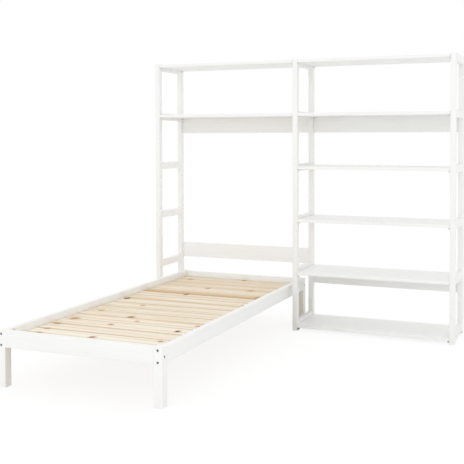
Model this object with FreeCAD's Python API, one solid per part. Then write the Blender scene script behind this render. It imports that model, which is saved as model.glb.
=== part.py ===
import FreeCAD, Part
import os

from FreeCAD import Vector

# A single bed whose head end stands in the left bay of a two-bay pine bookcase.
# Three ladder frames carry eight shelves and four back boards. The bed has four legs, two side rails,
# a foot board, a head rail and a deck of pine slats. X runs along the bookcase, Y from the foot of the
# bed to the back of the bookcase, Z up. The origin is on the floor, in the middle of the whole footprint.

# Bookcase, driving sizes
frame_height = 1808.0
frame_depth = 365.0
bay_width = 1000.0
post_width = 33.0
post_depth = 38.0
rung_height = 48.0
rungs_per_frame = 6
bottom_rung_lift = 20.0
shelf_thickness = 20.0
shelf_end_play = 1.0
lowest_shelf_underside = 21.0
post_above_top_shelf = 7.0
right_bay_shelves = 6
left_bay_shelves = 2
back_board_height = 108.0
back_board_thickness = 18.0
headboard_underside = 399.0

# Bed, driving sizes
bed_length = 2065.0
bed_to_middle_frame = 35.0
leg_size = 48.0
leg_height = 295.0
leg_above_rail = 3.0
rail_thickness = 32.0
rail_height = 79.0
foot_board_height = 86.0
slat_below_rail_top = 38.0
slat_thickness = 18.0
slat_width = 117.0
slat_least_gap = 7.0
slat_edge_round = 3.0
slat_end_play = 3.0
head_roll_slats = 5
roll_gap_extra = 9.0
ledger_width = 28.0

# Joinery, driving sizes
edge_round = 2.0
fit_gap = 0.15
tenon_cheek = 10.5
tenon_height = 30.0
tenon_length = 20.0
mortise_floor_gap = 1.0
pin_shank_radius = 3.0
pin_shank_length = 9.0
pin_head_radius = 5.0
pin_head_length = 12.0
front_pin_inset = 15.0
pin_to_board_play = 3.0
dowel_radius = 4.0
dowel_in_board = 15.0
post_web = 3.0
cam_radius = 7.5
cam_depth = 12.5
cam_setback = 34.0
cam_slot_length = 9.0
cam_slot_width = 1.6
cam_slot_depth = 1.5
cam_bolt_radius = 3.0
cam_bolt_head_radius = 3.6
cam_bolt_head_length = 4.0
cam_bolt_in_post = 12.0
fixing_spread = 52.0
bolt_radius = 3.0
bolt_head_radius = 6.2
bolt_head_depth = 5.0
bolt_head_sink = 0.5
bolt_in_rail = 55.0
bolt_tip_past_nut = 8.0
barrel_nut_radius = 5.0
barrel_nut_length = 14.0
upper_bolt_below_rail_top = 14.0
lower_bolt_above_underside = 7.0
side_bolt_below_rail_top = 47.0
frame_bolt_below_rail_top = 30.0
frame_bolt_in_bed = 25.0
insert_nut_radius = 5.0
insert_nut_length = 15.0
screw_radius = 2.0
screw_head_radius = 4.0
slat_screw_length = 35.0
slat_screw_inset = 11.0
ledger_screw_length = 45.0
gaps_per_ledger_screw = 3

# Sizes worked out from the driving ones
section_pitch = bay_width + post_width
total_width = 2.0 * section_pitch + post_width
back = bed_length / 2.0
foot = -bed_length / 2.0
front = back - frame_depth
left = -total_width / 2.0
rung_pitch = (frame_height - rung_height - bottom_rung_lift) / (rungs_per_frame - 1)
shelf_spacing = (
    frame_height - post_above_top_shelf - shelf_thickness - lowest_shelf_underside
) / (right_bay_shelves - 1)
front_post_back = front + post_depth
rear_post_front = back - post_depth
tenon_thickness = post_width - 2.0 * tenon_cheek
dowel_in_post = (post_width - post_web) / 2.0
bed_left = left + post_width
bed_right = bed_left + bay_width - bed_to_middle_frame
deck_left = bed_left + rail_thickness
deck_right = bed_right - rail_thickness
deck_foot = foot + rail_thickness
deck_head = back - rail_thickness
rail_foot = foot + leg_size
rail_head = back - leg_size
rail_top = leg_height - leg_above_rail
rail_underside = rail_top - rail_height
slat_top = rail_top - slat_below_rail_top
slat_underside = slat_top - slat_thickness
upper_leg_bolt = rail_top - upper_bolt_below_rail_top
lower_leg_bolt = rail_underside + lower_bolt_above_underside
side_leg_bolt = rail_top - side_bolt_below_rail_top
frame_bolt_height = rail_top - frame_bolt_below_rail_top
bolt_to_inner_face = rail_thickness - leg_size / 2.0
front_pin_y = front + front_pin_inset
rear_pin_y = back - back_board_thickness - pin_head_radius - pin_to_board_play
board_middle_y = back - back_board_thickness / 2.0
upper_board_shelf = right_bay_shelves - 2
lower_board_shelf = 1

AXES = {"x": Vector(1, 0, 0), "y": Vector(0, 1, 0), "z": Vector(0, 0, 1)}


def block(x, y, z):
    """A box from three (low, high) pairs."""
    size = [high - low for low, high in (x, y, z)]
    return Part.makeBox(*size, Vector(x[0], y[0], z[0]))


def rod(radius, start, direction, length):
    """A round bar from a start point along a direction."""
    return Part.makeCylinder(radius, length, Vector(*start), Vector(*direction))


def cone(radius_start, radius_end, start, direction, length):
    """A tapered round bar, as under a countersunk head."""
    return Part.makeCone(radius_start, radius_end, length, Vector(*start), Vector(*direction))


def eased(shape, axis, radius=edge_round):
    """The shape with its long edges along one axis rounded over."""
    way = AXES[axis]
    edges = [edge for edge in shape.Edges if abs(edge.tangentAt(edge.FirstParameter).dot(way)) > 0.999]
    return shape.makeFillet(radius, edges)


def save(name, solids):
    """Write one node: a single solid, or a group of separate solids."""
    shape = solids if isinstance(solids, Part.Shape) else Part.makeCompound(solids)
    shape.exportStep(os.path.join("parts", name + ".step"))


def shelf_underside(level):
    """Height of the underside of a shelf, counted up from the lowest one."""
    return lowest_shelf_underside + level * shelf_spacing


def rung_underside(level):
    """Height of the underside of a rung, counted up from the lowest one."""
    return bottom_rung_lift + level * rung_pitch


# Ladder frames

FRAMES = {"left": left, "middle": left + section_pitch, "right": left + 2.0 * section_pitch}
INNER_SIDES = {"left": (1,), "middle": (-1, 1), "right": (-1,)}
BAYS = {"left": left + post_width, "right": left + section_pitch + post_width}
BAY_SHELVES = {
    "left": tuple(range(right_bay_shelves - left_bay_shelves, right_bay_shelves)),
    "right": tuple(range(right_bay_shelves)),
}


def tenon(frame_x, face_y, outward, level, play=0.0, extra=0.0):
    """The tongue of a rung that runs from the shoulder at face_y into a post."""
    middle_x = frame_x + post_width / 2.0
    middle_z = rung_underside(level) + rung_height / 2.0
    half_x = tenon_thickness / 2.0 + play
    half_z = tenon_height / 2.0 + play
    tip = face_y + outward * (tenon_length + extra)
    return block(
        (middle_x - half_x, middle_x + half_x),
        (min(face_y, tip), max(face_y, tip)),
        (middle_z - half_z, middle_z + half_z),
    )


def rung(frame_x, level):
    """One rung, as wide as the posts, with a tenon at each end."""
    underside = rung_underside(level)
    bar = block(
        (frame_x, frame_x + post_width),
        (front_post_back, rear_post_front),
        (underside, underside + rung_height),
    )
    bar = eased(bar, "y")
    bar = bar.fuse(tenon(frame_x, front_post_back, -1, level))
    return bar.fuse(tenon(frame_x, rear_post_front, 1, level))


def inner_face(frame_x, side):
    """X of the face of a frame that looks into a bay; side is +1 or -1."""
    return frame_x + post_width if side > 0 else frame_x


def shelf_levels_at(frame, side):
    """Levels of the shelves that rest on one face of a frame."""
    if frame == "left" or (frame == "middle" and side < 0):
        return BAY_SHELVES["left"]
    return BAY_SHELVES["right"]


def pin_height(level):
    """Height of the axis of the pins under a shelf."""
    return shelf_underside(level) - pin_head_radius


def pin_bores(frame, frame_x, pin_y):
    """Bores in one post for the shank of every pin that it holds."""
    bores = []
    for side in INNER_SIDES[frame]:
        for level in shelf_levels_at(frame, side):
            mouth = (inner_face(frame_x, side), pin_y, pin_height(level))
            bores.append(rod(pin_shank_radius + fit_gap, mouth, (-side, 0, 0), pin_shank_length + fit_gap))
    return bores


def board_rows():
    """Every back board: name, bay and height of its underside."""
    under_upper_shelf = shelf_underside(upper_board_shelf) - back_board_height
    under_lower_shelf = shelf_underside(lower_board_shelf) - back_board_height
    return (
        ("left_upper_back_board", "left", under_upper_shelf),
        ("headboard_plank", "left", headboard_underside),
        ("right_upper_back_board", "right", under_upper_shelf),
        ("right_lower_back_board", "right", under_lower_shelf),
    )


def board_ends():
    """Both ends of every back board: X of the face, way into the board, cam height, dowel height."""
    ends = []
    for _, bay, underside in board_rows():
        middle_z = underside + back_board_height / 2.0
        heights = (middle_z - fixing_spread / 2.0, middle_z + fixing_spread / 2.0)
        ends.append((BAYS[bay], 1) + heights)
        ends.append((BAYS[bay] + bay_width, -1) + heights)
    return ends


def rear_post_fixing_bores(frame_x):
    """Bores in a rear post for the dowels and cam bolts of the back boards."""
    bores = []
    for face_x, way, cam_z, dowel_z in board_ends():
        if frame_x <= face_x <= frame_x + post_width:
            dowel_mouth = (face_x, board_middle_y, dowel_z)
            cam_mouth = (face_x, board_middle_y, cam_z)
            bores.append(rod(dowel_radius + fit_gap, dowel_mouth, (-way, 0, 0), dowel_in_post + fit_gap))
            bores.append(rod(cam_bolt_radius + fit_gap, cam_mouth, (-way, 0, 0), cam_bolt_in_post + fit_gap))
    return bores


def frame_bolt_places():
    """Y of the two bolts that hold the bed to the left frame, in the middle of its posts."""
    return (front + post_depth / 2.0, back - post_depth / 2.0)


def frame_bolt_bore(y):
    """Through bore and head recess in a post of the left frame."""
    bore = rod(bolt_radius + fit_gap, (left, y, frame_bolt_height), (1, 0, 0), post_width)
    recess = rod(
        bolt_head_radius + fit_gap,
        (left, y, frame_bolt_height),
        (1, 0, 0),
        bolt_head_depth + bolt_head_sink,
    )
    return bore.fuse(recess)


def post(frame, place):
    """One upright, with its mortises and bores; place is front or rear."""
    frame_x = FRAMES[frame]
    is_front = place == "front"
    low_y = front if is_front else rear_post_front
    shape = block((frame_x, frame_x + post_width), (low_y, low_y + post_depth), (0, frame_height))
    shape = eased(shape, "z")
    shoulder = front_post_back if is_front else rear_post_front
    outward = -1 if is_front else 1
    cuts = [
        tenon(frame_x, shoulder, outward, level, fit_gap, mortise_floor_gap)
        for level in range(rungs_per_frame)
    ]
    cuts += pin_bores(frame, frame_x, front_pin_y if is_front else rear_pin_y)
    if not is_front:
        cuts += rear_post_fixing_bores(frame_x)
    if frame == "left":
        cuts.append(frame_bolt_bore(frame_bolt_places()[0 if is_front else 1]))
    return shape.cut(cuts)


def save_frames():
    for frame, frame_x in FRAMES.items():
        for place in ("front", "rear"):
            save(f"{frame}_{place}_post", post(frame, place))
        for level in range(rungs_per_frame):
            save(f"{frame}_rung_{level + 1}", rung(frame_x, level))


# Shelves and their pins


def shelf(bay, level):
    """One shelf between two frames, flush with them front and back."""
    underside = shelf_underside(level)
    low_x = BAYS[bay] + shelf_end_play
    high_x = BAYS[bay] + bay_width - shelf_end_play
    board = block((low_x, high_x), (front, back), (underside, underside + shelf_thickness))
    return eased(board, "x")


def shelf_pin(face_x, side, y, level):
    """A pin with its shank in a post and its thicker head under the end of a shelf."""
    mouth = (face_x, y, pin_height(level))
    shank = rod(pin_shank_radius, mouth, (-side, 0, 0), pin_shank_length)
    return shank.fuse(rod(pin_head_radius, mouth, (side, 0, 0), pin_head_length))


def shelf_pins(levels):
    """Every pin under the shelves of the given levels."""
    pins = []
    for frame, frame_x in FRAMES.items():
        for side in INNER_SIDES[frame]:
            for level in shelf_levels_at(frame, side):
                if level in levels:
                    for y in (front_pin_y, rear_pin_y):
                        pins.append(shelf_pin(inner_face(frame_x, side), side, y, level))
    return pins


def save_shelves():
    for bay, levels in BAY_SHELVES.items():
        for level in levels:
            save(f"{bay}_shelf_{level + 1}", shelf(bay, level))
    save("bottom_shelf_pins", shelf_pins((0,)))
    save("shelf_pins", shelf_pins(range(1, right_bay_shelves)))


# Back boards and their fittings


def cam_centre(face_x, way):
    """X of the axis of a cam in a board whose end lies at face_x."""
    return face_x + way * cam_setback


def cam_bolt_length():
    """From the bottom of its bore in the post to just past the axis of the cam."""
    return cam_bolt_in_post + cam_setback + cam_bolt_head_length / 2.0


def back_board(bay, underside):
    """One board across a bay, bored at both ends for its dowel, cam and cam bolt."""
    low_x = BAYS[bay]
    board = block(
        (low_x, low_x + bay_width),
        (back - back_board_thickness, back),
        (underside, underside + back_board_height),
    )
    board = eased(board, "x")
    cuts = []
    for face_x, way, cam_z, dowel_z in board_ends():
        bolt_depth = cam_setback + cam_bolt_head_length
        cuts.append(
            rod(dowel_radius + fit_gap, (face_x, board_middle_y, dowel_z), (way, 0, 0),
                dowel_in_board + fit_gap)
        )
        cuts.append(
            rod(cam_bolt_head_radius + fit_gap, (face_x, board_middle_y, cam_z), (way, 0, 0), bolt_depth)
        )
        cuts.append(
            rod(cam_radius + fit_gap, (cam_centre(face_x, way), back, cam_z), (0, -1, 0),
                cam_depth + fit_gap)
        )
    inside = [cut for cut in cuts if cut.common(board).Volume > 0.0]
    return board.cut(inside)


def cam(face_x, way, cam_z):
    """A round cam from the back of a board, slotted for the bolt and for a screwdriver."""
    centre_x = cam_centre(face_x, way)
    body = rod(cam_radius, (centre_x, back, cam_z), (0, -1, 0), cam_depth)
    tunnel_start = (centre_x - way * cam_radius, board_middle_y, cam_z)
    tunnel = rod(cam_bolt_head_radius + fit_gap, tunnel_start, (way, 0, 0), cam_radius + cam_bolt_head_length)
    slot = block(
        (centre_x - cam_slot_length / 2.0, centre_x + cam_slot_length / 2.0),
        (back - cam_slot_depth, back),
        (cam_z - cam_slot_width / 2.0, cam_z + cam_slot_width / 2.0),
    )
    return body.cut([tunnel, slot])


def cam_bolt(face_x, way, cam_z):
    """The bolt from the post to the cam, with a thicker head that the cam grips."""
    start = (face_x - way * cam_bolt_in_post, board_middle_y, cam_z)
    length = cam_bolt_length()
    shank = rod(cam_bolt_radius, start, (way, 0, 0), length)
    head_start = (start[0] + way * (length - cam_bolt_head_length), board_middle_y, cam_z)
    return shank.fuse(rod(cam_bolt_head_radius, head_start, (way, 0, 0), cam_bolt_head_length))


def dowel(face_x, way, dowel_z):
    """A wooden dowel, half in the post and half in the board."""
    start = (face_x - way * dowel_in_post, board_middle_y, dowel_z)
    return rod(dowel_radius, start, (way, 0, 0), dowel_in_post + dowel_in_board)


def save_back_boards():
    for name, bay, underside in board_rows():
        save(name, back_board(bay, underside))
    ends = board_ends()
    save("board_cams", [cam(face_x, way, cam_z) for face_x, way, cam_z, _ in ends])
    save("board_cam_bolts", [cam_bolt(face_x, way, cam_z) for face_x, way, cam_z, _ in ends])
    save("board_dowels", [dowel(face_x, way, dowel_z) for face_x, way, _, dowel_z in ends])


# Bed frame

LEG_CORNERS = {
    "foot_left": (bed_left, foot, 1, 1),
    "foot_right": (bed_right - leg_size, foot, -1, 1),
    "head_left": (bed_left, back - leg_size, 1, -1),
    "head_right": (bed_right - leg_size, back - leg_size, -1, -1),
}


def leg_bolt_axes(corner):
    """Head point, way and the length inside the leg of the three bolts through a leg."""
    low_x, low_y, way_x, way_y = LEG_CORNERS[corner]
    end_y = low_y if way_y > 0 else low_y + leg_size
    side_x = low_x if way_x > 0 else low_x + leg_size
    # every bolt runs through the middle of the leg, which lies inside the thickness of the rails
    middle_x = low_x + leg_size / 2.0
    middle_y = low_y + leg_size / 2.0
    return (
        ((middle_x, end_y, upper_leg_bolt), (0, way_y, 0)),
        ((middle_x, end_y, lower_leg_bolt), (0, way_y, 0)),
        ((side_x, middle_y, side_leg_bolt), (way_x, 0, 0)),
    )


def along(point, way, distance):
    """The point moved some distance along a way."""
    return tuple(p + w * distance for p, w in zip(point, way))


def leg_bolt(point, way):
    """A bolt with a round head sunk in the leg, long enough to pass its barrel nut."""
    head_face = along(point, way, bolt_head_sink)
    head = rod(bolt_head_radius, head_face, way, bolt_head_depth)
    reach = leg_size + bolt_in_rail - bolt_head_sink
    shank = rod(bolt_radius, head_face, way, reach)
    socket = rod(bolt_radius, head_face, way, bolt_head_depth / 2.0)
    return head.fuse(shank).cut(socket)


def leg_bolt_bore(point, way):
    """Bore and head recess for a leg bolt, from the face of the leg to the end of the bolt."""
    bore = rod(bolt_radius + fit_gap, point, way, leg_size + bolt_in_rail + fit_gap)
    recess = rod(bolt_head_radius + fit_gap, point, way, bolt_head_depth + bolt_head_sink)
    return bore.fuse(recess)


def barrel_nut_place(point, way, inner_way):
    """Mouth of the bore of a barrel nut, on the inner face of a rail, and its way in."""
    centre = along(point, way, leg_size + bolt_in_rail - bolt_tip_past_nut)
    mouth = along(centre, inner_way, bolt_to_inner_face)
    return mouth, tuple(-w for w in inner_way)


def barrel_nut_rows():
    """Mouth, way in and bolt of every barrel nut."""
    rows = []
    for corner, (_, _, way_x, way_y) in LEG_CORNERS.items():
        upper, lower, side = leg_bolt_axes(corner)
        for bolt in (upper, lower):
            rows.append(barrel_nut_place(bolt[0], bolt[1], (way_x, 0, 0)) + (bolt,))
        rows.append(barrel_nut_place(side[0], side[1], (0, way_y, 0)) + (side,))
    return rows


def barrel_nut(mouth, way, bolt):
    """A cross-bored round nut, sunk so that its middle lies on the bolt."""
    start = along(mouth, way, bolt_to_inner_face - barrel_nut_length / 2.0)
    body = rod(barrel_nut_radius, start, way, barrel_nut_length)
    return body.cut(leg_bolt_bore(*bolt))


def barrel_nut_bore(mouth, way, _bolt):
    """The bore that a barrel nut is pushed in by."""
    depth = bolt_to_inner_face + barrel_nut_length / 2.0 + fit_gap
    return rod(barrel_nut_radius + fit_gap, mouth, way, depth)


def bed_bores():
    """Every bolt and barrel-nut bore of the bed."""
    bores = [leg_bolt_bore(point, way) for corner in LEG_CORNERS for point, way in leg_bolt_axes(corner)]
    return bores + [barrel_nut_bore(*row) for row in barrel_nut_rows()]


def insert_nut_start(y):
    """Face of the bed that the insert nut of a frame bolt is sunk in."""
    return (bed_left, y, frame_bolt_height)


def bored(solid, bores):
    """The solid with only the bores that meet it cut out."""
    box = solid.BoundBox
    return solid.cut([bore for bore in bores if box.intersect(bore.BoundBox)])


def leg(corner):
    """One leg, square, with its long edges eased."""
    low_x, low_y, _, _ = LEG_CORNERS[corner]
    shape = block((low_x, low_x + leg_size), (low_y, low_y + leg_size), (0, leg_height))
    return eased(shape, "z")


def side_rail(low_x):
    """One side rail, flush with the outer faces of its legs."""
    bar = block(
        (low_x, low_x + rail_thickness),
        (rail_foot, rail_head),
        (rail_underside, rail_underside + rail_height),
    )
    return eased(bar, "y")


def cross_board(low_y, underside, height):
    """A board between two legs, across the bed."""
    bar = block(
        (bed_left + leg_size, bed_right - leg_size),
        (low_y, low_y + rail_thickness),
        (underside, underside + height),
    )
    return eased(bar, "x")


def frame_bolt(y):
    """A bolt through a post of the left frame into its insert nut in the bed."""
    head_face = (left + bolt_head_sink, y, frame_bolt_height)
    length = post_width - bolt_head_sink + frame_bolt_in_bed
    head = rod(bolt_head_radius, head_face, (1, 0, 0), bolt_head_depth)
    shank = rod(bolt_radius, head_face, (1, 0, 0), length)
    socket = rod(bolt_radius, head_face, (1, 0, 0), bolt_head_depth / 2.0)
    return head.fuse(shank).cut(socket)


def insert_nut(y):
    """A threaded insert, flush with the outer face of the bed."""
    sleeve = rod(insert_nut_radius, insert_nut_start(y), (1, 0, 0), insert_nut_length)
    return sleeve.cut(rod(bolt_radius + fit_gap, insert_nut_start(y), (1, 0, 0), insert_nut_length))


def frame_bolt_bores_in_bed():
    """Bores in the bed for the insert nuts and the tips of the frame bolts."""
    bores = []
    for y in frame_bolt_places():
        start = insert_nut_start(y)
        sleeve = rod(insert_nut_radius + fit_gap, start, (1, 0, 0), insert_nut_length + fit_gap)
        bores.append(sleeve.fuse(rod(bolt_radius + fit_gap, start, (1, 0, 0), frame_bolt_in_bed + fit_gap)))
    return bores


def save_bed_frame():
    bores = bed_bores() + frame_bolt_bores_in_bed() + ledger_screw_bores()
    for corner in LEG_CORNERS:
        save(f"{corner}_leg", bored(leg(corner), bores))
    save("left_side_rail", bored(side_rail(bed_left), bores))
    save("right_side_rail", bored(side_rail(bed_right - rail_thickness), bores))
    foot_board_underside = leg_height - foot_board_height
    save("foot_board", bored(cross_board(foot, foot_board_underside, foot_board_height), bores))
    save("head_rail", bored(cross_board(deck_head, rail_underside, rail_height), bores))
    bolts = [leg_bolt(point, way) for corner in LEG_CORNERS for point, way in leg_bolt_axes(corner)]
    save("leg_bolts", bolts)
    save("barrel_nuts", [barrel_nut(*row) for row in barrel_nut_rows()])
    save("frame_bolts", [frame_bolt(y) for y in frame_bolt_places()])
    save("insert_nuts", [insert_nut(y) for y in frame_bolt_places()])


# Slat deck


def slat_starts():
    """Y of the foot-side edge of every slat: one roll set from the foot, one from the head."""
    first = deck_foot + slat_end_play
    last = deck_head - slat_end_play - slat_width
    slats = int((last - first) // (slat_width + slat_least_gap)) + 1
    pitch = (last - first - roll_gap_extra) / (slats - 1)
    foot_roll = [first + pitch * number for number in range(slats - head_roll_slats)]
    head_roll = [last - pitch * number for number in reversed(range(head_roll_slats))]
    return foot_roll, head_roll


def slat(start):
    """One slat, notched round the legs where it reaches them."""
    board = block(
        (deck_left + slat_end_play, deck_right - slat_end_play),
        (start, start + slat_width),
        (slat_underside, slat_top),
    )
    board = eased(board, "x", slat_edge_round)
    bores = [slat_screw_bore(x, y) for x, y in slat_screw_places() if start < y < start + slat_width]
    for low_x, low_y, _, _ in LEG_CORNERS.values():
        notch = block(
            (low_x - slat_end_play, low_x + leg_size + slat_end_play),
            (low_y - slat_end_play, low_y + leg_size + slat_end_play),
            (0, leg_height),
        )
        if board.common(notch).Volume > 0.0:
            bores.append(notch)
    return board.cut(bores)


def ledger_rows():
    """X range and inward way of the two ledgers that carry the slats."""
    return (
        ("left_slat_ledger", (deck_left, deck_left + ledger_width), 1),
        ("right_slat_ledger", (deck_right - ledger_width, deck_right), -1),
    )


def slat_screw_places():
    """X and Y of the screws that hold the ends of every slat."""
    foot_roll, head_roll = slat_starts()
    rows = []
    for start in foot_roll + head_roll:
        for x in (deck_left + slat_screw_inset, deck_right - slat_screw_inset):
            rows.append((x, start + slat_width / 2.0))
    return rows


def countersunk_screw(point, way, length, play=0.0):
    """A screw with a flat countersunk head in the surface at the point."""
    head_height = screw_head_radius - screw_radius
    head = cone(screw_head_radius + play, screw_radius + play, point, way, head_height)
    return head.fuse(rod(screw_radius + play, point, way, length + play))


def slat_screw_bore(x, y):
    return countersunk_screw((x, y, slat_top), (0, 0, -1), slat_screw_length, fit_gap)


def ledger_screw_places():
    """Point on the inner face of a ledger, below a gap between slats, and the way into the rail."""
    foot_roll, head_roll = slat_starts()
    starts = foot_roll + head_roll
    gap_middles = [(low + slat_width + high) / 2.0 for low, high in zip(starts, starts[1:])]
    height = (rail_underside + slat_underside) / 2.0
    rows = []
    for _, (low_x, high_x), inward in ledger_rows():
        face_x = high_x if inward > 0 else low_x
        for y in gap_middles[1::gaps_per_ledger_screw]:
            rows.append(((face_x, y, height), (-inward, 0, 0)))
    return rows


def ledger_screw_bores():
    places = ledger_screw_places()
    return [countersunk_screw(point, way, ledger_screw_length, fit_gap) for point, way in places]


def ledger(x_range):
    """The batten that the ends of the slats rest on, screwed to the inner face of a rail."""
    bar = block(x_range, (rail_foot, rail_head), (rail_underside, slat_underside))
    bar = eased(bar, "y")
    slat_bores = [slat_screw_bore(x, y) for x, y in slat_screw_places()]
    return bored(bar, slat_bores + ledger_screw_bores())


def save_deck():
    foot_roll, head_roll = slat_starts()
    save("foot_slats", [slat(start) for start in foot_roll])
    save("head_slats", [slat(start) for start in head_roll])
    for name, x_range, _ in ledger_rows():
        save(name, ledger(x_range))
    slat_points = [(x, y, slat_top) for x, y in slat_screw_places()]
    save("slat_screws", [countersunk_screw(point, (0, 0, -1), slat_screw_length) for point in slat_points])
    ledger_places = ledger_screw_places()
    save("ledger_screws", [countersunk_screw(point, way, ledger_screw_length) for point, way in ledger_places])


def main():
    os.makedirs("parts", exist_ok=True)
    save_frames()
    save_shelves()
    save_back_boards()
    save_bed_frame()
    save_deck()


main()
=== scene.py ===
"""Looks of a single bed whose head end stands in the left bay of a white ladder-frame bookcase.

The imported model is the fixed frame: rungs, shelves, boards, rails and legs keep their solids and get their
finish here, and posts, slats and fittings are modelled again with the holes, sockets and recesses of the real
ones. Lengths are in metres, X runs along the bookcase, Y from the foot of the bed to the back, Z up.
"""

import logging
import math
from abc import ABC, abstractmethod
from dataclasses import dataclass, field
from enum import Enum
from typing import Any, Callable

import bmesh
import bpy
from bpy.types import Material, Node, NodeSocket, NodeTree, Object
from mathutils import Matrix, Vector


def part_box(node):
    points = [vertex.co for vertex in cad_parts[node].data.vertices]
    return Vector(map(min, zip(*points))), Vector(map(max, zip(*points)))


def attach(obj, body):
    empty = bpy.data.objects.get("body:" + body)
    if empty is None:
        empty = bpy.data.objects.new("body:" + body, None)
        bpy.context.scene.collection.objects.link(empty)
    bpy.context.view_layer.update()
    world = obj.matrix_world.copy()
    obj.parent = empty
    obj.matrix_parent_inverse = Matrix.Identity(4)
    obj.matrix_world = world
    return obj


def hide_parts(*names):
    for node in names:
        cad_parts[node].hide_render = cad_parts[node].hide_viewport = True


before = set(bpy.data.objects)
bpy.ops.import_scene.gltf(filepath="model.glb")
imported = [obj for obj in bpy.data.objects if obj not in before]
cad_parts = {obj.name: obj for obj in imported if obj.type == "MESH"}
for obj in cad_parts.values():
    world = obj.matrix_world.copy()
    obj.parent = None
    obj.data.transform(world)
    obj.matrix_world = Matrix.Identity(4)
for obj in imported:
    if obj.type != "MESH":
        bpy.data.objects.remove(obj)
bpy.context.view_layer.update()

MM = 0.001
NEAR = 0.1 * MM
LOOKS_DOWN = -0.9
UP = Vector((0.0, 0.0, 1.0))
WHITE = (1.0, 1.0, 1.0, 1.0)
MIX_A, MIX_B, MIX_RESULT = 6, 7, 2
SMOOTH_ANGLE = math.radians(32.0)
FRAME_BOLT_HEIGHT = 262.0 * MM
CORNERS = ("foot_left", "foot_right", "head_left", "head_right")

Wire = Node | NodeSocket
Spot = tuple[Vector, Vector]

log = logging.getLogger("bed")


class Grain(Enum):
    """Axis that the grain of a board runs along, as the turn that brings it onto X."""

    ALONG_X = (0.0, 0.0, 0.0)
    ALONG_Y = (0.0, 0.0, -math.pi / 2.0)
    ALONG_Z = (0.0, math.pi / 2.0, 0.0)


class Slot(Enum):
    """Material slots of the record."""

    PAINTED_PINE = "white_painted_pine"
    RAW_PINE = "raw_pine"
    BLACK_STEEL = "black_steel"
    ZINC_STEEL = "zinc_steel"
    YELLOW_ZINC = "yellow_zinc_steel"
    NYLON = "white_nylon"


def linear(hex_colour: str) -> tuple[float, float, float, float]:
    """Turn an sRGB hex colour into linear RGBA.

    Args:
        hex_colour: Six hex digits after a hash, as on a paint card.

    Returns:
        The linear colour, with an alpha of one.
    """
    channels = [int(hex_colour[place : place + 2], 16) / 255.0 for place in (1, 3, 5)]
    bent = [c / 12.92 if c <= 0.04045 else ((c + 0.055) / 1.055) ** 2.4 for c in channels]
    return (bent[0], bent[1], bent[2], 1.0)


def add_node(tree: NodeTree, kind: str, inputs: dict[str | int, Any] | None = None, **settings: Any) -> Node:
    """Add one shader node with its settings and links.

    Args:
        tree: The node tree that gets the node.
        kind: Blender's name of the node type, without the ShaderNode that it starts with.
        inputs: Values, output sockets, or nodes, which give the first output that is in use, by the name or
            number of the input they go to.
        **settings: Properties of the node itself.

    Returns:
        The new node.
    """
    node = tree.nodes.new(f"ShaderNode{kind}")
    for name, value in settings.items():
        setattr(node, name, value)
    for socket, value in (inputs or {}).items():
        if isinstance(value, Node):
            value = next(output for output in value.outputs if output.enabled)
        if isinstance(value, NodeSocket):
            tree.links.new(value, node.inputs[socket])
        else:
            node.inputs[socket].default_value = value
    return node


def drawn_out_noise(tree: NodeTree, place: Wire, length: float, width: float, detail: float) -> Node:
    """Draw a cloudy pattern whose clouds are drawn out along the grain.

    Args:
        tree: The node tree that gets the nodes.
        place: Position on the board, with the grain along X.
        length: Length of a cloud.
        width: Its width and depth.
        detail: How many finer layers lie on it.

    Returns:
        The node of the pattern.
    """
    clouds = add_node(tree, "Mapping", {"Vector": place, "Scale": (1.0 / length, 1.0 / width, 1.0 / width)})
    return add_node(tree, "TexNoise", {"Vector": clouds, "Scale": 1.0, "Detail": detail})


def relief_shader(
    tree: NodeTree, height: Wire, strength: float, depth: float, sockets: dict[str, Any]
) -> Node:
    """Add a shader whose surface stands up where a pattern is high.

    Args:
        tree: The node tree that gets the nodes.
        height: The pattern.
        strength: How much of the relief shows, from 0 to 1.
        depth: Height of the relief.
        sockets: The other inputs of the shader.

    Returns:
        The shader node.
    """
    relief = add_node(tree, "Bump", {"Height": height, "Strength": strength, "Distance": depth})
    return add_node(tree, "BsdfPrincipled", {"Normal": relief, **sockets})


@dataclass(frozen=True)
class Finish(ABC):
    """A real surface, drawn with nodes."""

    name: str

    @abstractmethod
    def surface(self, tree: NodeTree) -> Node:
        """Lay out the surface.

        Args:
            tree: The node tree that gets the nodes.

        Returns:
            The shader node of the surface.
        """

    def build(self) -> Material:
        """Make the material and return it."""
        material = bpy.data.materials.new(self.name)
        material.use_nodes = True
        material.node_tree.nodes.clear()
        shader = self.surface(material.node_tree)
        add_node(material.node_tree, "OutputMaterial", {"Surface": shader})
        return material


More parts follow.
